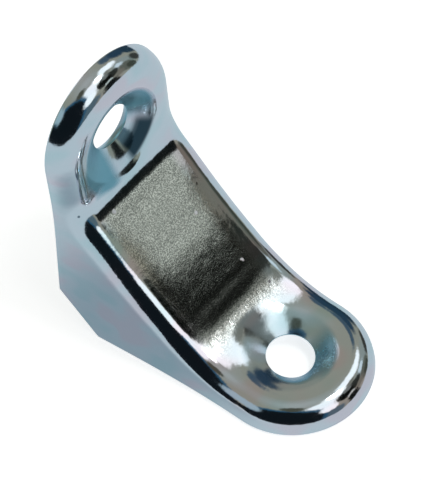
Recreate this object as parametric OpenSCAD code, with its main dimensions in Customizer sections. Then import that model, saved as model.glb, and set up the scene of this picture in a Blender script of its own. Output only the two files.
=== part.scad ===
// Pressed corner mounting bracket: one sheet of zinc-plated steel drawn into a
// diagonal panel between two rounded ears, open at the back.
// X runs out along the lower leg, Z up the upper leg and Y across the width.
// The lower mounting face is Z = 0, and the origin is the middle of the bracket's footprint.

/* [Legs] */
// Length of each leg, from the other leg's mounting face to the ear's end
leg = 30; // [27:1:38]
// Width across an ear, at its mounting face
ear_w = 16; // [15:0.5:19]
// Height of an ear's outer face above its mounting face
ear_h = 2.6; // [2.3:0.1:3.6]
// Straight length of the lower ear, between its round end and its bend
ear_flat = 0.8; // [0.4:0.2:3]

/* [Sheet] */
// Thickness of the sheet
sheet_t = 1.2; // [0.8:0.1:1.4]
// Outside radius of the shoulder between the outer face and the side walls
shoulder_r = 2.4; // [1.7:0.1:2.7]
// Draft of the side walls, in degrees
wall_draft = 8; // [3:1:11]

/* [Panel] */
// Slope of the panel above the lower leg, in degrees
panel_slope = 44.74; // [43:0.01:47]
// Outside radius of the bend between the panel and the lower ear
lower_bend_r = 12; // [8:1:16]
// Outside radius of the bend between the panel and the upper ear
upper_bend_r = 5; // [3:0.5:10]
// Length cut off each leg at the back corner
corner_cut = 4.4; // [2:0.2:7]

/* [Screw holes] */
// Diameter of a screw hole
hole_d = 4.8; // [4:0.1:5.2]
// Distance from the ear's end to the centre of its screw hole
hole_end = 8.3; // [7.8:0.1:8.8]
// Diameter of the dish around a screw hole, at the ear's face
dish_d = 9.8; // [9.2:0.1:10.4]
// Depth of the dish
dish_depth = 1.4; // [1:0.1:1.6]
// Radius of the lip that rolls from the ear's face into the dish
lip_r = 1.8; // [1.5:0.1:2.4]
// Slope of the dish's wall where it runs up into a bend, in degrees
dish_wall = 60; // [50:1:75]
// Length of the straight wall of a screw hole
hole_land = 0.4; // [0.3:0.1:0.6]

/* [Hidden] */
$fn = 48;
past = 1;                       // how far a cutting form runs past the face it opens

// Ear: the section's flat half width follows from the width at the mounting face
ear_r = ear_w / 2;
flat_w = ear_r - wall_out(0, ear_h);
ear_x = leg - ear_r;
hole_x = leg - hole_end;

// Panel: its plane leaves the lower ear's face at panel_x and meets the upper ear's
// face at panel_z. It lies panel_d from the corner of the two mounting faces.
lower_bend = panel_slope;
upper_bend = 90 - panel_slope;
bend_x = ear_x - ear_flat;
panel_x = bend_x - bend_run(lower_bend_r, lower_bend);
panel_z = ear_h + (panel_x - ear_h) * tan(panel_slope);
panel_d = panel_x * sin(panel_slope) + ear_h * cos(panel_slope);
panel_len = (panel_x - ear_h) / cos(panel_slope) - bend_run(lower_bend_r, lower_bend)
    - bend_run(upper_bend_r, upper_bend);
upper_flat = ear_x - panel_z - bend_run(upper_bend_r, upper_bend);
depth = panel_d + past;         // of the drawn form, from its outer face past both mounting faces

// Dish: its lip is an arc about lip_hub that meets the ear's face at a small angle,
// and its slope is the line from the screw hole's rim that touches the arc
lip_angle = 8;
lip_hub = [dish_d / 2 + lip_r * sin(lip_angle), -lip_r * cos(lip_angle)];
rim = [hole_d / 2, -dish_depth];
dish_slope = atan2(lip_hub[1] - rim[1], lip_hub[0] - rim[0]) + asin(lip_r / norm(lip_hub - rim));

// Length that a bend takes up on each side of the corner it rounds
function bend_run(r, angle) = r * tan(angle / 2);

// Sideways distance from the flat's edge to the wall at a height below the outer
// face, for a form offset inwards from the outer surface
function wall_out(inset, below) = (shoulder_r - inset) * cos(wall_draft)
    + (below - shoulder_r + (shoulder_r - inset) * sin(wall_draft)) * tan(wall_draft);

// What a rounded shoulder takes off the drawn section's corner, from where the outer
// face ends to where the wall begins
module shoulder_waste(inset) {
    far = shoulder_r + past;
    translate([flat_w, -shoulder_r]) difference() {
        polygon([[0, 0], [0, far], [far, far], far * [cos(wall_draft), sin(wall_draft)]]);
        circle(r = shoulder_r - inset);
    }
}

// The drawn section: outer face on top, drafted walls at the sides
module section(inset) {
    top_w = flat_w + wall_out(inset, inset);
    low_w = flat_w + wall_out(inset, depth);
    difference() {
        polygon([[-low_w, -depth], [-top_w, -inset], [top_w, -inset], [low_w, -depth]]);
        shoulder_waste(inset);
        mirror([1, 0]) shoulder_waste(inset);
    }
}

// Round end of an ear, turned from half of the section
module ear_end(inset) {
    rotate_extrude(angle = 180) difference() {
        polygon([
            [0, -depth],
            [0, -inset],
            [flat_w + wall_out(inset, inset), -inset],
            [flat_w + wall_out(inset, depth), -depth],
        ]);
        shoulder_waste(inset);
    }
}

// A straight length of the section along X; what follows it starts at its far end
module run(inset, length) {
    rotate([90, 0, 90]) linear_extrude(length) section(inset);
    translate([length, 0, 0]) children();
}

// A bend of the section upwards, turned a little too far and cut off square where the
// next length starts. What follows it starts there.
module bend(inset, r, angle) {
    beyond = 2 * (depth + r);
    translate([0, 0, r]) {
        difference() {
            rotate([90, 0, 0]) rotate([0, 0, -90]) rotate_extrude(angle = angle + 5 * past)
                translate([r, 0]) rotate(90) section(inset);
            rotate([0, -angle, 0]) translate([0, -beyond / 2, -beyond]) cube(beyond);
        }
        rotate([0, -angle, 0]) translate([0, 0, -r]) children();
    }
}

// The whole drawn form, offset inwards from the outer surface: the section swept
// from the lower ear's end, up the panel, to the upper ear's end
module drawn_form(inset) {
    translate([ear_x, 0, ear_h]) rotate([0, 0, 180]) {
        rotate([0, 0, 90]) ear_end(inset);
        run(inset, ear_flat)
            bend(inset, lower_bend_r, lower_bend)
                run(inset, panel_len)
                    bend(inset, upper_bend_r, upper_bend)
                        run(inset, upper_flat)
                            rotate([0, 0, -90]) ear_end(inset);
    }
}

// What lies in front of both mounting faces and of the cut corner
module trim() {
    far = leg + past;
    rotate([90, 0, 0]) linear_extrude(4 * ear_w, center = true)
        polygon([[corner_cut, 0], [far, 0], [far, far], [0, far], [0, corner_cut]]);
}

// Half section of the hollow of a dish, offset outwards into the sheet. Its steep wall
// only cuts where a bend rises above the ear's face.
module dish_section(inset) {
    top = dish_depth + sheet_t;
    low = ear_h + past;
    round_r = lip_r - inset;
    touch = lip_hub + round_r * [-sin(dish_slope), cos(dish_slope)];
    mouth = lip_hub + round_r * [-sin(lip_angle), cos(lip_angle)];
    tip = touch[0] - (low + touch[1]) / tan(dish_slope);
    difference() {
        polygon([
            [0, -low],
            [max(0, tip), -low],
            if (tip < 0) [0, touch[1] - touch[0] * tan(dish_slope)],
            touch,
            lip_hub,
            mouth,
            [mouth[0] + (top - mouth[1]) / tan(dish_wall), top],
            [0, top],
        ]);
        translate(lip_hub) circle(r = round_r);
    }
}

module dish(inset) {
    rotate_extrude() dish_section(inset);
}

// The punched hole: a straight land, then the sheet's edge, square to the dish
module screw_hole() {
    land_z = -dish_depth - hole_land;
    flare = ear_h + past + land_z;
    translate([0, 0, land_z]) cylinder(r = hole_d / 2, h = hole_land + past);
    translate([0, 0, land_z - flare])
        cylinder(r1 = hole_d / 2 + flare * tan(dish_slope), r2 = hole_d / 2, h = flare);
}

// Where a hole and its dish go, on the lower leg and mirrored onto the upper one
module at_holes() {
    translate([hole_x, 0, ear_h]) children();
    mirror([1, 0, -1]) translate([hole_x, 0, ear_h]) children();
}

module bracket() {
    color("lightsteelblue") translate([-leg / 2, 0, 0]) difference() {
        intersection() {
            drawn_form(0);
            trim();
        }
        difference() {
            drawn_form(sheet_t);
            at_holes() dish(sheet_t);
        }
        at_holes() {
            dish(0);
            screw_hole();
        }
    }
}

bracket();
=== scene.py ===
"""Looks of a pressed, zinc-plated corner bracket: its surface in smooth quads, its plating,
a studio floor and light, and the camera."""
import math

import bmesh
import bpy
from mathutils import Matrix, Vector


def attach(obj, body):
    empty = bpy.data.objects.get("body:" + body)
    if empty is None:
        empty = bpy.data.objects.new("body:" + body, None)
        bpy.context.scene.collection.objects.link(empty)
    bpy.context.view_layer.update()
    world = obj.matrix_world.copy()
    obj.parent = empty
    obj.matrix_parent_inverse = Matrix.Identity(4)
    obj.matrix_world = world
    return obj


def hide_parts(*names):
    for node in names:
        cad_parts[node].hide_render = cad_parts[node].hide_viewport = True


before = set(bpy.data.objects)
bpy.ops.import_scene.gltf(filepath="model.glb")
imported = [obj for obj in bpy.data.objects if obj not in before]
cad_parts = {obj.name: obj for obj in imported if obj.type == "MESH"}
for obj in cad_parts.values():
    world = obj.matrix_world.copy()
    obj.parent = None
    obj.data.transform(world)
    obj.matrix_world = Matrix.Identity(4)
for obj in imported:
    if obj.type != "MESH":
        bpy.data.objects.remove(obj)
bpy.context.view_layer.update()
scene = bpy.context.scene

# ---------------------------------------------------------------- sizes, in mm
# The corner of the two mounting planes is the origin here; the frame's origin is
# half a leg further out along X.
LEG = 30.0
EAR_R = 8.0
EAR_H = 2.6
EAR_FLAT = 0.8
SHEET = 1.2
SHOULDER_R = 2.4
DRAFT = math.radians(8.0)
SLOPE = math.radians(44.74)
LOWER_R = 12.0
UPPER_R = 5.0
CUT = 4.4
HOLE_R = 2.4
HOLE_X = 21.7
DISH_R = 4.9
# Each ear's dish: its slope, its depth, how far its rim tilts over the hole's radius, how
# softly its lip leaves the ear's face, and its reach into the bend
LOW_DISH = (math.radians(32.5), 1.12, 0.3, 0.9, 5.7)
UP_DISH = (math.radians(36), 1.5, 0.0, 0.9, 4.6)
LAND = 0.12
SAG = 0.35          # hollow of the panel along its length
SAG_LOW = 4.0       # how far the hollow reaches into the lower bend
SAG_UP = 1.5        # and into the upper one
CROWN = 0.16        # swell of the panel across its width
MM = 0.001
TINY = 1e-9

EAR_X = LEG - EAR_R


def wall_out(inset, below):
    """Sideways distance from the outer face's edge to the wall, at a depth below the face."""
    r = SHOULDER_R - inset
    return r * math.cos(DRAFT) + (below - SHOULDER_R + r * math.sin(DRAFT)) * math.tan(DRAFT)


FLAT_W = EAR_R - wall_out(0, EAR_H)


# ---------------------------------------------------------------- the path of the outer face
LOW_STEPS = 3                   # samples along the lower ear's straight length
LOW_BEND_STEPS = 28
PANEL_STEPS = (4, 14, 10)       # below, beside and above the cut corner
UP_BEND_STEPS = 18
UP_STEPS = 8                    # and along the upper ear's straight length


def along(start, end, steps):
    """Even steps from start to end, without start itself."""
    return [start + (end - start) * i / steps for i in range(1, steps + 1)]


def make_path():
    """Samples along the outer face from the lower ear's centre to the upper ear's, as
    (x, z, heading), with a row opposite each end of the cut corner."""
    bend1, bend2 = SLOPE, math.pi / 2 - SLOPE
    run1, run2 = LOWER_R * math.tan(bend1 / 2), UPPER_R * math.tan(bend2 / 2)
    panel_x = EAR_X - EAR_FLAT - run1
    panel_len = (panel_x - EAR_H) / math.cos(SLOPE) - run1 - run2
    panel_z = EAR_H + (panel_x - EAR_H) * math.tan(SLOPE)
    foot = (panel_x - run1 * math.cos(SLOPE), EAR_H + run1 * math.sin(SLOPE))
    cut1 = -(CUT - foot[0]) * math.cos(SLOPE) - foot[1] * math.sin(SLOPE)
    cut2 = foot[0] * math.cos(SLOPE) + (CUT - foot[1]) * math.sin(SLOPE)
    below, beside, above = PANEL_STEPS
    panel = along(0, cut1, below) + along(cut1, cut2, beside) + along(cut2, panel_len, above)
    pieces = [
        ("run", along(0, EAR_FLAT, LOW_STEPS)),
        ("bend", LOWER_R, along(0, bend1, LOW_BEND_STEPS)),
        ("run", panel),
        ("bend", UPPER_R, along(0, bend2, UP_BEND_STEPS)),
        ("run", along(0, EAR_X - panel_z - run2, UP_STEPS)),
    ]
    x, z, head = EAR_X, EAR_H, math.pi
    out = [(x, z, head)]
    for piece in pieces:
        if piece[0] == "run":
            out += [(x + d * math.cos(head), z + d * math.sin(head), head) for d in piece[1]]
        else:
            r = piece[1]
            cx, cz = x + r * math.sin(head), z - r * math.cos(head)
            for turn in piece[2]:
                h = head - turn
                out.append((cx - r * math.sin(h), cz + r * math.cos(h), h))
        x, z, head = out[-1]
    return hollow(out, EAR_FLAT + LOWER_R * bend1 - SAG_LOW, panel_len + SAG_LOW + SAG_UP)


def hollow(path, start, length):
    """The path with a shallow hollow pressed into it, from a distance along it."""
    out, gone = [], 0.0
    for i, (x, z, h) in enumerate(path):
        if i:
            gone += math.hypot(x - path[i - 1][0], z - path[i - 1][1])
        turn = math.pi * min(1, max(0, (gone - start) / length))
        dip = SAG * math.sin(turn) ** 2
        tilt = math.atan(SAG * math.pi / length * math.sin(2 * turn))
        out.append((x - dip * math.sin(h), z + dip * math.cos(h), h + tilt))
    return out


PATH = make_path()
N = len(PATH)
LAST = N - 1
ARC = 44                        # steps round an ear's end
ACROSS = 26                     # steps across the panel
# Path rows where the ears' polar patches end: 18 steps into the lower bend, 12 into the upper
PATCH_LOW = LOW_STEPS + 18
PATCH_UP = LAST - UP_STEPS - 12


# ---------------------------------------------------------------- the outline of the outer face
def outline():
    """The closed loop round the outer face, as (centre, out, up, key) at each step. The key
    is the side and the path row or, round an ear's end, the ear and the step."""
    loop = []
    for side in (-1, 1):
        rows = range(N) if side < 0 else range(LAST, -1, -1)
        for i in rows:
            x, z, h = PATH[i]
            loop.append((Vector((x, 0, z)), Vector((0, side, 0)),
                         Vector((math.sin(h), 0, -math.cos(h))), (side, i)))
        for k in range(1, ARC):
            a = math.pi * k / ARC - math.pi / 2
            if side < 0:
                loop.append((Vector((EAR_H, 0, EAR_X)), Vector((0, math.sin(a), math.cos(a))),
                             Vector((1, 0, 0)), ("up", k)))
            else:
                loop.append((Vector((EAR_X, 0, EAR_H)), Vector((math.cos(a), -math.sin(a), 0)),
                             Vector((0, 0, 1)), ("low", k)))
    return loop


LOOP = outline()
WHERE = {key: j for j, (_, _, _, key) in enumerate(LOOP)}


SHOULDER_STEPS = 14
WALL_STEPS = 8
EDGE = 0.16                     # rounding of the sheet's cut edge
EDGE_FAR = 0.45                 # where its two middle points lie, as shares of EDGE
EDGE_NEAR = 0.08


def skirt_profile(centre, out, up, inset):
    """Points down the shoulder, then where the drafted wall starts, its direction and its
    length down to the first mounting plane or to the cut corner."""
    r = SHOULDER_R - inset
    hub = centre + out * FLAT_W - up * SHOULDER_R
    end = math.pi / 2 - DRAFT
    turns = [end * i / SHOULDER_STEPS for i in range(SHOULDER_STEPS + 1)]
    pts = [hub + r * (math.sin(turn) * out + math.cos(turn) * up) for turn in turns]
    start = pts[-1]
    way = math.sin(DRAFT) * out - math.cos(DRAFT) * up
    stops = []
    for normal, level in (((0, 1), 0), ((1, 0), 0), ((1, 1), CUT)):
        fall = normal[0] * way.x + normal[1] * way.z
        if fall < -TINY:
            stops.append((level - normal[0] * start.x - normal[1] * start.z) / fall)
    return pts, start, way, min(stops)


class Skin:
    """A mesh under construction, in mm about the corner. Its zone colours say how far the
    plating has the panel's grain (red), the dishes' blue, partly the plating's own and partly a
    painted reflection (green), and a painted dark reflection on the upper dish's side (blue)."""

    def __init__(self):
        self.bm = bmesh.new()
        self.zone = self.bm.verts.layers.float_color.new("zone")

    def vert(self, p, zone=(0, 0, 0)):
        v = self.bm.verts.new(((p[0] - LEG / 2) * MM, p[1] * MM, p[2] * MM))
        v[self.zone] = (*zone, 1)
        return v

    def quads(self, a, b, closed=False, flip=False):
        n = len(a)
        for i in range(n if closed else n - 1):
            j = (i + 1) % n
            ring = [a[i], a[j], b[j], b[i]]
            if len(set(ring)) > 2:
                ring = list(dict.fromkeys(ring))
                self.bm.faces.new(ring[::-1] if flip else ring)


def mm_of(v):
    """Where a vertex of the skin lies, in mm about the corner."""
    return v.co.x / MM + LEG / 2, v.co.y / MM, v.co.z / MM


skin = Skin()


def make_skirt(inset, flip):
    """Rings from the edge of the outer (or inner) face down to just above the rim, and the
    points of the rim below them."""
    columns = []
    for centre, out, up, _ in LOOP:
        pts, start, way, reach = skirt_profile(centre, out, up, inset)
        wall = [start + way * (reach - EDGE) * i / WALL_STEPS for i in range(1, WALL_STEPS + 1)]
        columns.append((pts, wall, start + way * reach))
    rings = []
    for level in range(SHOULDER_STEPS + 1 + WALL_STEPS):
        ring = []
        for pts, wall, _ in columns:
            p = pts[level] if level <= SHOULDER_STEPS else wall[level - SHOULDER_STEPS - 1]
            ring.append(skin.vert(p))
        rings.append(ring)
    for a, b in zip(rings, rings[1:]):
        skin.quads(a, b, closed=True, flip=flip)
    return rings, [c[2] for c in columns]


outer_rings, outer_feet = make_skirt(0, False)
inner_rings, inner_feet = make_skirt(SHEET, True)


def make_rim():
    """The sheet's cut edge, with both its corners a little rounded."""
    rows = [outer_rings[-1]]
    for outside in (True, False):
        near, far = (outer_feet, inner_feet) if outside else (inner_feet, outer_feet)
        ring_up = outer_rings[-1] if outside else inner_rings[-1]
        corner = [[], [], []]
        for j, foot in enumerate(near):
            side = (far[j] - foot).normalized() * EDGE
            up = Vector(mm_of(ring_up[j])) - foot
            corner[0].append(skin.vert(foot + up * EDGE_FAR + side * EDGE_NEAR))
            corner[1].append(skin.vert(foot + up * EDGE_NEAR + side * EDGE_FAR))
            corner[2].append(skin.vert(foot + side))
        rows += corner if outside else corner[::-1]
    rows.append(inner_rings[-1])
    for a, b in zip(rows, rows[1:]):
        skin.quads(a, b, closed=True, flip=False)


make_rim()


# ---------------------------------------------------------------- the panel and the ears
BEND_LOW = EAR_X - EAR_FLAT     # where each bend leaves its ear's flat, along the leg
BEND_UP = PATH[LAST - UP_STEPS][1]
# Rings of an ear's patch: from the hole's rim, as shares of the way to the dish's edge, then
# as shares of the way from the last of these to the face's edge
DISH_RINGS = [0.0, 0.05, 0.12, 0.22, 0.34, 0.46, 0.57, 0.65, 0.71, 0.76, 0.81, 0.86, 0.905, 0.945,
              0.98, 1.015, 1.05, 1.085, 1.12, 1.16, 1.2]
FACE_RINGS = (0.3, 0.62)
# Where along X the panel's grain starts and is full, and the same from its two rims
GRAIN = (18.5, 15.0)
GRAIN_LEFT = (0.1, 1.6)
GRAIN_RIGHT = (0.1, 0.6)
FADE_ROWS = 6                   # rows over which the panel's swell starts and its grain ends
FADE_UP = 7.0                   # mm over which the swell fades at the panel's top
LIP_FADE = 1.4                  # mm over which the upper dish's lip sharpens past its reach
LIP_LEAST = 0.01                # and how soft it is after that
RISE_FROM = HOLE_R - 0.4        # where the lower bend starts to lift the dish


def smin(a, b, k):
    """The lesser of a and b, blended where they differ by less than k."""
    h = max(k - abs(a - b), 0) / k
    return min(a, b) - h * h * k / 4


def smooth(value, low, high):
    """0 at low and 1 at high, which may be the lesser, with a soft start and end."""
    t = min(1, max(0, (value - low) / (high - low)))
    return t * t * (3 - 2 * t)


def ear_height(dist, y, upper, inset):
    """Height of the ear over its mounting plane, at a distance along the leg: its face,
    the bend that leads up to the panel, and the dish, whose lip rolls into both."""
    bend_at, bend_r = (BEND_UP, UPPER_R) if upper else (BEND_LOW, LOWER_R)
    slope, depth, tilt, lip, reach = UP_DISH if upper else LOW_DISH
    s = bend_at - dist
    bend = bend_r + inset
    rise = bend - math.sqrt(bend * bend - s * s) if s > 0 else 0
    r = math.hypot(dist - HOLE_X, y)
    depth += tilt * (dist - HOLE_X) / r
    cone = (r - HOLE_R) * math.tan(slope) - depth - inset / math.cos(slope)
    if upper:
        return EAR_H + smin(rise - inset, cone, lip * smooth(r, reach + LIP_FADE, reach) + LIP_LEAST)
    return EAR_H + smin(-inset, cone, lip) + rise * smooth(r, RISE_FROM, reach)


# The dishes' blue: the plating's own blue all round, and a painted reflection of teal on one side of
# each dish
BLUE_WAY = (0.82, 0.57)         # the lower dish's painted reflection lies on this side of its hole
BLUE_EVEN = 0.25                # and this blue all round
BLUE_MORE = 0.6                 # with this much more on that side
BLUE_FACING = (0.6, 0.95)
BLUE_FADE = 0.7                 # mm over which it ends at that dish's edge
BLUE_LEAST = 0.15               # the upper dish's least blue
BLUE_ACROSS = (-0.6, -2.2)      # where it rises and is full in that dish, in mm across it
BLUE_ALONG = (-2.0, 1.0)        # and along the leg, from the hole's centre
BLUE_OUT = (0.0, -0.5)          # where it ends and is full, in mm from the dish's edge
BLUE_CORNER = (1.8, 1.6)        # and how much further out in the corner by the bend


def dish_blue_and_reflection(dist, y, upper):
    """How strongly the dish's blue shows: the plating's own blue in the dish, and a painted
    reflection on one side of the lower dish and of the upper one, where it runs on into the corner
    by the bend."""
    r = math.hypot(dist - HOLE_X, y)
    if not upper:
        facing = ((dist - HOLE_X) * BLUE_WAY[0] + y * BLUE_WAY[1]) / r
        blue = BLUE_EVEN + BLUE_MORE * smooth(facing, *BLUE_FACING)
        return blue * smooth(r, DISH_R, DISH_R - BLUE_FADE)
    corner = max(0, (HOLE_X - dist - y) / (math.sqrt(2) * r)) ** 4
    ends, full = (DISH_R + out + more * corner for out, more in zip(BLUE_OUT, BLUE_CORNER))
    side = max(smooth(y, *BLUE_ACROSS), smooth(dist - HOLE_X, *BLUE_ALONG))
    return smooth(r, ends, full) * max(BLUE_LEAST, side)


# Where the painted dark reflection on the upper dish's side starts and is full: in mm from the
# hole's centre, from inside and from outside, and in degrees round it, from both ends
PAINTED_DARK_IN = (2.7, 3.4)
PAINTED_DARK_OUT = (5.0, 4.6)
PAINTED_DARK_FROM = (95, 120)
PAINTED_DARK_TO = (176, 164)


def dish_painted_reflection(dist, y, upper):
    """How strongly a dark reflection of the panel's rim is painted on the upper dish's side by the
    panel.
    """
    if not upper:
        return 0
    r = math.hypot(dist - HOLE_X, y)
    turn = math.degrees(math.atan2(y, dist - HOLE_X))
    ring = smooth(r, *PAINTED_DARK_OUT) * smooth(r, *PAINTED_DARK_IN)
    return ring * smooth(turn, *PAINTED_DARK_FROM) * smooth(turn, *PAINTED_DARK_TO)


def ear_patch(upper, inset, ring, row_line, flip):
    """The ear round its hole, out to the face's edge and to the panel's first row; returns
    the hole's rim."""
    def flat(v):
        x, y, z = mm_of(v)
        return (z, y) if upper else (x, y)

    def lift(d, y, h):
        return (h, y, d) if upper else (d, y, h)

    if upper:
        edge = [ring[WHERE[(-1, i)]] for i in range(PATCH_UP, N)]
        edge += [ring[WHERE[("up", k)]] for k in range(1, ARC)]
        edge += [ring[WHERE[(1, i)]] for i in range(LAST, PATCH_UP - 1, -1)]
        edge += list(reversed(row_line))[1:-1]
    else:
        edge = [ring[WHERE[(1, i)]] for i in range(PATCH_LOW, -1, -1)]
        edge += [ring[WHERE[("low", k)]] for k in range(1, ARC)]
        edge += [ring[WHERE[(-1, i)]] for i in range(PATCH_LOW + 1)]
        edge += row_line[1:-1]
    hole = hole_radius(inset, UP_DISH[0] if upper else LOW_DISH[0])
    rows = []
    span = DISH_R - hole
    for f in DISH_RINGS:
        r = hole + span * f
        row = []
        for v in edge:
            d, y = flat(v)
            a = math.atan2(y, d - HOLE_X)
            dd, yy = HOLE_X + r * math.cos(a), r * math.sin(a)
            h = ear_height(dd, yy, upper, inset)
            # the dish's blue, partly a painted reflection, and the upper dish's painted dark
            # reflection
            zone = (0, dish_blue_and_reflection(dd, yy, upper), dish_painted_reflection(dd, yy, upper))
            row.append(skin.vert(lift(dd, yy, h), zone))
        rows.append(row)
    last = hole + span * DISH_RINGS[-1]
    for f in FACE_RINGS:
        row = []
        for v in edge:
            d, y = flat(v)
            a, r = math.atan2(y, d - HOLE_X), math.hypot(d - HOLE_X, y)
            r = last + (r - last) * f
            dd, yy = HOLE_X + r * math.cos(a), r * math.sin(a)
            h = ear_height(dd, yy, upper, inset)
            grainy = 0 if upper else smooth(dd, *GRAIN)
            row.append(skin.vert(lift(dd, yy, h), (grainy, dish_blue_and_reflection(dd, yy, upper), 0)))
        rows.append(row)
    rows.append(edge)
    for a, b in zip(rows, rows[1:]):
        skin.quads(a, b, closed=True, flip=flip)
    return rows[0]


def hole_radius(inset, slope):
    """The hole's radius in the outer face or, where the punched edge flares, in the inner."""
    return HOLE_R + (SHEET - LAND * math.cos(slope)) * math.sin(slope) if inset else HOLE_R


def face_sheet(inset, rings, flip):
    """The panel's rows between the ears, and both ears; returns the holes' rims."""
    ring = rings[0]
    rows = []
    top_x, top_z, _ = PATH[PATCH_UP]
    for i in range(PATCH_LOW, PATCH_UP + 1):
        x, z, h = PATH[i]
        left, right = ring[WHERE[(1, i)]], ring[WHERE[(-1, i)]]
        row = [left]
        ends = min(1, (i - PATCH_LOW) / FADE_ROWS, math.hypot(x - top_x, z - top_z) / FADE_UP)
        for j in range(1, ACROSS):
            y = FLAT_W * (1 - 2 * j / ACROSS)
            lift = CROWN * (1 - (y / FLAT_W) ** 4) * ends * ends * (3 - 2 * ends) - inset
            p = (x + lift * math.sin(h), y, z - lift * math.cos(h))
            grainy = smooth(x, *GRAIN) * smooth(PATCH_UP - i, 0, FADE_ROWS)
            grainy *= smooth(FLAT_W - y, *GRAIN_LEFT) * smooth(FLAT_W + y, *GRAIN_RIGHT)
            row.append(skin.vert(p, (grainy, 0, 0)))
        row.append(right)
        rows.append(row)
    for a, b in zip(rows, rows[1:]):
        skin.quads(a, b, flip=not flip)
    low = ear_patch(False, inset, ring, list(reversed(rows[0])), flip)
    up = ear_patch(True, inset, ring, list(reversed(rows[-1])), flip)
    return low, up


outer_low, outer_up = face_sheet(0, outer_rings, False)
inner_low, inner_up = face_sheet(SHEET, inner_rings, True)


def hole_wall(upper, top, bottom):
    """The straight land of a punched hole and the sheet's edge below it, in the dish's blue."""
    rows = [top]
    way = Vector((1, 0, 0)) if upper else Vector((0, 0, 1))
    for share in (0.5, 1.0):
        row = []
        for v in top:
            row.append(skin.vert(Vector(mm_of(v)) - way * LAND * share, (0, 1, 0)))
        rows.append(row)
    rows.append(bottom)
    for a, b in zip(rows, rows[1:]):
        skin.quads(a, b, closed=True, flip=True)


hole_wall(False, outer_low, inner_low)
hole_wall(True, outer_up, inner_up)

bm = skin.bm
bmesh.ops.recalc_face_normals(bm, faces=bm.faces)
open_edges = [e for e in bm.edges if not e.is_manifold]
print("open or doubled edges:", len(open_edges), "faces:", len(bm.faces))
SHARP = math.radians(50)        # edges that turn by more stay crisp
mesh = bpy.data.meshes.new("bracket_skin")
bm.to_mesh(mesh)
bm.free()
for poly in mesh.polygons:
    poly.use_smooth = True
mesh.set_sharp_from_angle(angle=SHARP)
bracket = bpy.data.objects.new("bracket_skin", mesh)
scene.collection.objects.link(bracket)
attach(bracket, "root")
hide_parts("bracket")


# ---------------------------------------------------------------- the plating
def add(tree, kind, links=(), **settings):
    """A new node with its attributes or input values set, and its inputs linked."""
    n = tree.nodes.new(kind)
    for name, value in settings.items():
        if hasattr(n, name):
            setattr(n, name, value)
        else:
            n.inputs[name.replace("_", " ")].default_value = value
    for name, source in links:
        tree.links.new(source, n.inputs[name])
    return n


def math_node(tree, operation, a, b, c=None, clamp=False):
    n = add(tree, "ShaderNodeMath", operation=operation, use_clamp=clamp)
    for i, value in enumerate((a, b, c)):
        if isinstance(value, (int, float)):
            n.inputs[i].default_value = value
        elif value is not None:
            tree.links.new(value, n.inputs[i])
    return n.outputs[0]


def blend(tree, factor, a, b):
    """The colour a where factor is 0, b where it is 1."""
    n = add(tree, "ShaderNodeMix", data_type="RGBA")
    tree.links.new(factor, n.inputs["Factor"])
    for name, value in (("A", a), ("B", b)):
        socket = [i for i in n.inputs if i.name == name and i.type == "RGBA"][0]
        if isinstance(value, tuple):
            socket.default_value = (*value, 1)
        else:
            tree.links.new(value, socket)
    return [o for o in n.outputs if o.type == "RGBA"][0]


def step_between(tree, value, low, high):
    """A node's value turned into a soft step, 0 at low and 1 at high."""
    n = add(tree, "ShaderNodeMapRange", From_Min=low, From_Max=high)
    n.interpolation_type = "SMOOTHSTEP"
    tree.links.new(value, n.inputs["Value"])
    return n.outputs[0]


def noise(tree, coords, scale, detail=2.0, stretch=None):
    """Noise from 0 to 1, by its scale in waves per mm, its detail and its stretch."""
    if stretch:
        m = add(tree, "ShaderNodeMapping", [("Vector", coords)], Scale=stretch)
        coords = m.outputs[0]
    n = add(tree, "ShaderNodeTexNoise", [("Vector", coords)], Scale=scale, Detail=detail)
    return n.outputs["Fac"]


# Small marks, where the photo shows them: (x, y, z) in mm about the bracket's own origin,
# radius in mm, how matte, and the mark's colour
MARKS = [
    ((-2.25, 3.8, 5.72), 0.36, 0.5, (0.95, 0.9, 0.95)),
    ((0.65, 4.4, 3.8), 0.24, 0.1, (0.12, 0.12, 0.13)),
    ((-8.48, 5.0, 11.82), 0.22, 0.1, (0.14, 0.14, 0.13)),
    ((-6.94, 3.0, 10.46), 0.22, 0.5, (0.98, 0.98, 1.0)),
    ((-11.0, -3.8, 14.8), 0.3, 0.4, (0.95, 0.97, 1.0)),
    ((-12.5, -7.0, 16.2), 0.16, 0.1, (0.2, 0.26, 0.3)),
]
ZINC = (0.68, 0.76, 0.81)
ZINC_PINK = (0.75, 0.71, 0.77)
ZINC_TEAL = (0.60, 0.75, 0.79)
PANEL_DARK = (0.42, 0.45, 0.43)
PANEL_LIGHT = (0.96, 0.98, 0.95)
# the dishes' blue, partly the plating's own and partly a painted reflection
DISH_BLUE_AND_REFLECTION = (0.2, 0.43, 0.52)
# the colour of the painted dark reflection on the upper dish's side
PAINTED_REFLECTION_DARK = (0.03, 0.06, 0.08)
ROUGH = 0.09
ROUGH_PANEL = 0.03              # more on the panel's grain
ROUGH_DISH = 0.22               # and in the dishes
ROUGH_WORN = 0.08               # and its drift over the whole plating
RELIEF = 0.000012               # depth of the finest relief, in metres


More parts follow.
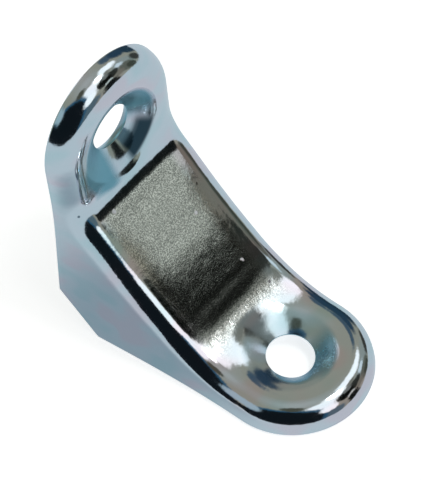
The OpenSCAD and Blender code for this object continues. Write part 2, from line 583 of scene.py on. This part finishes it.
def zinc_plate():
    mat = bpy.data.materials.new("zinc_plate")
    mat.use_nodes = True
    tree = mat.node_tree
    bsdf = tree.nodes["Principled BSDF"]
    bsdf.inputs["Metallic"].default_value = 1.0
    place = add(tree, "ShaderNodeTexCoord").outputs["Object"]
    scaled = add(tree, "ShaderNodeVectorMath", [("Vector", place)], operation="SCALE", Scale=1 / MM)
    in_mm = scaled.outputs[0]
    zone = add(tree, "ShaderNodeVertexColor", layer_name="zone").outputs["Color"]
    panel, dish, painted_dark = add(tree, "ShaderNodeSeparateColor", [("Color", zone)]).outputs[:3]

    # colour: a blue-grey passivated plate with faint drifts of pink and teal
    drift = noise(tree, in_mm, 0.22, 1.0, (1, 1, 1.6))
    tint = blend(tree, step_between(tree, drift, 0.5, 0.68), ZINC, ZINC_PINK)
    tint = blend(tree, step_between(tree, drift, 0.48, 0.3), tint, ZINC_TEAL)
    grain = noise(tree, in_mm, 8.5, 2.0)
    # the dishes' blue, partly a painted reflection, then the painted dark reflection on the upper
    # dish
    tint = blend(tree, dish, tint, DISH_BLUE_AND_REFLECTION)
    tint = blend(tree, painted_dark, tint, PAINTED_REFLECTION_DARK)
    rolled = blend(tree, step_between(tree, grain, 0.38, 0.64), PANEL_DARK, PANEL_LIGHT)
    colour = blend(tree, panel, tint, rolled)
    matte = None
    ragged = noise(tree, in_mm, 3.0, 1.0)
    for at, radius, dull, mark in MARKS:
        gap = add(tree, "ShaderNodeVectorMath", [("Vector", in_mm)], operation="DISTANCE")
        gap.inputs[1].default_value = at
        far = math_node(tree, "MULTIPLY_ADD", ragged, radius, gap.outputs["Value"])
        spot = step_between(tree, far, radius * 1.5, radius * 1.2)
        colour = blend(tree, spot, colour, mark)
        spot = math_node(tree, "MULTIPLY", spot, dull)
        matte = math_node(tree, "ADD", matte, spot) if matte else spot
    tree.links.new(colour, bsdf.inputs["Base Color"])

    # roughness: the panel and the dishes are duller, the drawn rims are burnished
    rough = math_node(tree, "MULTIPLY_ADD", panel, ROUGH_PANEL, ROUGH)
    rough = math_node(tree, "ADD", rough, matte)
    rough = math_node(tree, "MULTIPLY_ADD", dish, ROUGH_DISH, rough)
    worn = math_node(tree, "MULTIPLY_ADD", noise(tree, in_mm, 1.4, 3.0), ROUGH_WORN, -ROUGH_WORN / 2)
    tree.links.new(math_node(tree, "ADD", rough, worn, clamp=True), bsdf.inputs["Roughness"])

    # relief: fine grain on the panel, and slight waves and pits where the sheet was drawn
    waves = noise(tree, in_mm, 0.9, 2.0)
    pits = noise(tree, in_mm, 4.0, 2.0)
    soft = math_node(tree, "MULTIPLY_ADD", waves, 1.2, math_node(tree, "MULTIPLY", pits, 0.18))
    relief = math_node(tree, "MULTIPLY_ADD", math_node(tree, "MULTIPLY", grain, panel), 0.5, soft)
    bump = add(tree, "ShaderNodeBump", [("Height", relief)], Strength=1.0, Distance=RELIEF)
    tree.links.new(bump.outputs[0], bsdf.inputs["Normal"])
    return mat


mesh.materials.append(zinc_plate())

# ---------------------------------------------------------------- floor, light and camera
FLOOR_HALF = 1.2
FLOOR_Z = -0.0002                   # just under the bracket, so that they share no plane
FLOOR_GREY = (0.8, 0.8, 0.8, 1)
FLOOR_GLOW = 0.7                    # brings the lit floor to white for the camera
TABLE = (0.575, 0.645, 0.69)        # the table as the plating mirrors it
TABLE_PAINTED_SHADOW = (0.30, 0.37, 0.42)    # and a painted shadow on it close beside the bracket, round the point given next
PAINTED_SHADOW_AT = (-0.008, -0.012, 0)
PAINTED_SHADOW_REACH = (0.005, 0.020)        # where the painted shadow starts to fade and has faded, in metres


def make_floor():
    """A pale table, white to the camera with the bracket's shadow, and grey-blue to the plating
    that mirrors it, with a painted shadow close beside the bracket."""
    data = bpy.data.meshes.new("floor")
    h = FLOOR_HALF
    data.from_pydata([(-h, -h, 0), (h, -h, 0), (h, h, 0), (-h, h, 0)], [], [(0, 1, 2, 3)])
    floor = bpy.data.objects.new("floor", data)
    floor.location.z = FLOOR_Z
    scene.collection.objects.link(floor)
    mat = bpy.data.materials.new("floor")
    mat.use_nodes = True
    tree = mat.node_tree
    tree.nodes.clear()
    lit = add(tree, "ShaderNodeBsdfDiffuse", Color=FLOOR_GREY)
    lift = add(tree, "ShaderNodeEmission", Color=(1, 1, 1, 1), Strength=FLOOR_GLOW)
    white = add(tree, "ShaderNodeAddShader")
    tree.links.new(lit.outputs[0], white.inputs[0])
    tree.links.new(lift.outputs[0], white.inputs[1])
    place = add(tree, "ShaderNodeTexCoord").outputs["Object"]
    # the table as the plating mirrors it, with a painted shadow that darkens it close beside the
    # bracket
    gap = add(tree, "ShaderNodeVectorMath", [("Vector", place)], operation="DISTANCE")
    gap.inputs[1].default_value = PAINTED_SHADOW_AT
    open_table = step_between(tree, gap.outputs["Value"], *PAINTED_SHADOW_REACH)
    tone = blend(tree, open_table, TABLE_PAINTED_SHADOW, TABLE)
    mirrored = add(tree, "ShaderNodeEmission", [("Color", tone)])
    path = add(tree, "ShaderNodeLightPath")
    pick = add(tree, "ShaderNodeMixShader", [("Fac", path.outputs["Is Glossy Ray"])])
    tree.links.new(white.outputs[0], pick.inputs[1])
    tree.links.new(mirrored.outputs[0], pick.inputs[2])
    add(tree, "ShaderNodeOutputMaterial", [("Surface", pick.outputs[0])])
    data.materials.append(mat)


make_floor()

# The studio round the bracket as its plating mirrors it: a warm grey room, over it a white
# softbox, and dark where the open room is. The camera sees white instead. Each field is its
# azimuth and elevation, its radius and the radius where it has faded out, all in degrees,
# and its colour. They were set against the tones that the photo's plating shows.
ROOM = [                        # by elevation in degrees
    (0, (0.33, 0.32, 0.265)),
    (60, (0.33, 0.32, 0.265)),
    (75, (0.36, 0.37, 0.34)),
    (90, (0.42, 0.44, 0.42)),
]
FIELDS = [
    (-4, 57, 11, 16, (1.15, 1.17, 1.18)),       # the softbox, which stretches over the bracket
    (30, 62, 8, 14, (1.2, 1.2, 1.18)),
    (70, 59, 8, 13, (1.2, 1.22, 1.22)),
    (76, 48, 7, 12, (1.25, 1.27, 1.28)),
    (-6, 45, 9, 14, (1.15, 1.17, 1.2)),
    (-4, 10, 12, 18, (0.10, 0.15, 0.18)),
    (64, 24, 14, 24, (0.3, 0.33, 0.31)),
    (62, 32, 4, 8, (0.7, 0.8, 0.85)),
    (-60, 18, 45, 50, (0.03, 0.10, 0.17)),      # the open room, blue at its edge
    (-60, 18, 39, 44, (0.006, 0.009, 0.012)),
    (-112, 34, 8, 15, (0.4, 0.5, 0.56)),
    (-104, 10, 10, 13, (0.006, 0.009, 0.012)),
    (-58, 71, 7, 11, (0.08, 0.08, 0.06)),
    (-5, 34, 9, 13, (1.2, 1.22, 1.22)),
    (82, 6, 7, 12, (0.05, 0.05, 0.045)),
    (57, 13, 11, 15, (0.13, 0.135, 0.11)),
    (60, 7, 6, 9, (0.06, 0.065, 0.05)),
    (40, 18, 6, 12, (0.2, 0.185, 0.15)),
    (26, 3, 7, 11, (0.006, 0.008, 0.008)),
    (29, 36, 14, 16, (0.002, 0.003, 0.002)),
    (43, 33, 7, 11, (0.03, 0.032, 0.027)),
    (50, 50, 4, 7, (0.2, 0.2, 0.17)),
    (27, 22, 4.5, 7, (0.58, 0.62, 0.58)),
    (29, 35, 6.5, 10, (0.002, 0.003, 0.002)),
    (35, 46, 4, 8.5, (0.19, 0.2, 0.185)),
    (26, 12, 8, 9.5, (0.006, 0.008, 0.008)),
    (108, 8, 9, 15, (0.02, 0.045, 0.07)),
    (109, 28, 9, 15, (0.025, 0.055, 0.09)),
    (112, 46, 5, 10, (0.06, 0.1, 0.14)),
    (185, 37, 10, 18, (1.0, 1.05, 1.08)),
]


def toward(azimuth, elevation):
    """The direction at an azimuth and elevation, in degrees."""
    a, e = math.radians(azimuth), math.radians(elevation)
    return Vector((math.cos(a) * math.cos(e), math.sin(a) * math.cos(e), math.sin(e)))


def studio_world():
    """The world: white to the camera, the room and its fields to every other ray."""
    world = bpy.data.worlds.new("studio")
    scene.world = world
    world.use_nodes = True
    tree = world.node_tree
    tree.nodes.clear()
    way = add(tree, "ShaderNodeTexCoord").outputs["Generated"]
    xyz = add(tree, "ShaderNodeSeparateXYZ", [("Vector", way)])
    ramp = add(tree, "ShaderNodeValToRGB", [("Fac", xyz.outputs["Z"])])
    stops = ramp.color_ramp
    while len(stops.elements) < len(ROOM):
        stops.elements.new(0.5)
    for stop, (elevation, colour) in zip(stops.elements, ROOM):
        stop.position = math.sin(math.radians(elevation))
        stop.color = (*colour, 1)
    sky = ramp.outputs[0]
    for azimuth, elevation, full, end, colour in FIELDS:
        dot = add(tree, "ShaderNodeVectorMath", [("Vector", way)], operation="DOT_PRODUCT")
        dot.inputs[1].default_value = toward(azimuth, elevation)
        faded, inner = math.cos(math.radians(end)), math.cos(math.radians(full))
        sky = blend(tree, step_between(tree, dot.outputs["Value"], faded, inner), sky, colour)
    tent = add(tree, "ShaderNodeBackground", [("Color", sky)])
    backdrop = add(tree, "ShaderNodeBackground", Color=(1, 1, 1, 1))
    path = add(tree, "ShaderNodeLightPath")
    pick = add(tree, "ShaderNodeMixShader", [("Fac", path.outputs["Is Camera Ray"])])
    tree.links.new(tent.outputs[0], pick.inputs[1])
    tree.links.new(backdrop.outputs[0], pick.inputs[2])
    add(tree, "ShaderNodeOutputWorld", [("Surface", pick.outputs[0])])


studio_world()

key = bpy.data.lights.new("key", "AREA")
key.shape = "DISK"
key.size = 0.2
key.energy = 1.2
key_ob = bpy.data.objects.new("key", key)
key_ob.location = toward(35, 64)    # a metre away
key_ob.rotation_euler = (-key_ob.location).to_track_quat("-Z", "Y").to_euler()
scene.collection.objects.link(key_ob)

# The camera, fitted to the photo: its place, its axes and its focal length in pixels
CAM_AT = Vector((94.62, -97.94, 202.27)) * MM
RIGHT = Vector((0.769, 0.6359, -0.0652))
DOWN = Vector((0.4866, -0.6485, -0.5853))
AHEAD = Vector((-0.4145, 0.4184, -0.8082))
FOCAL = 2470.56
PHOTO_WIDTH = 421
SENSOR = 36.0
cam = bpy.data.cameras.new("camera")
cam.sensor_fit = "HORIZONTAL"
cam.sensor_width = SENSOR
cam.lens = SENSOR * FOCAL / PHOTO_WIDTH
cam.clip_start = 0.01
cam.clip_end = 10
cam_ob = bpy.data.objects.new("camera", cam)
turn = Matrix((RIGHT, -DOWN, -AHEAD)).transposed().to_quaternion().normalized()
cam_ob.matrix_world = Matrix.Translation(CAM_AT) @ turn.to_matrix().to_4x4()
scene.collection.objects.link(cam_ob)
scene.camera = cam_ob

scene.view_settings.view_transform = "Standard"
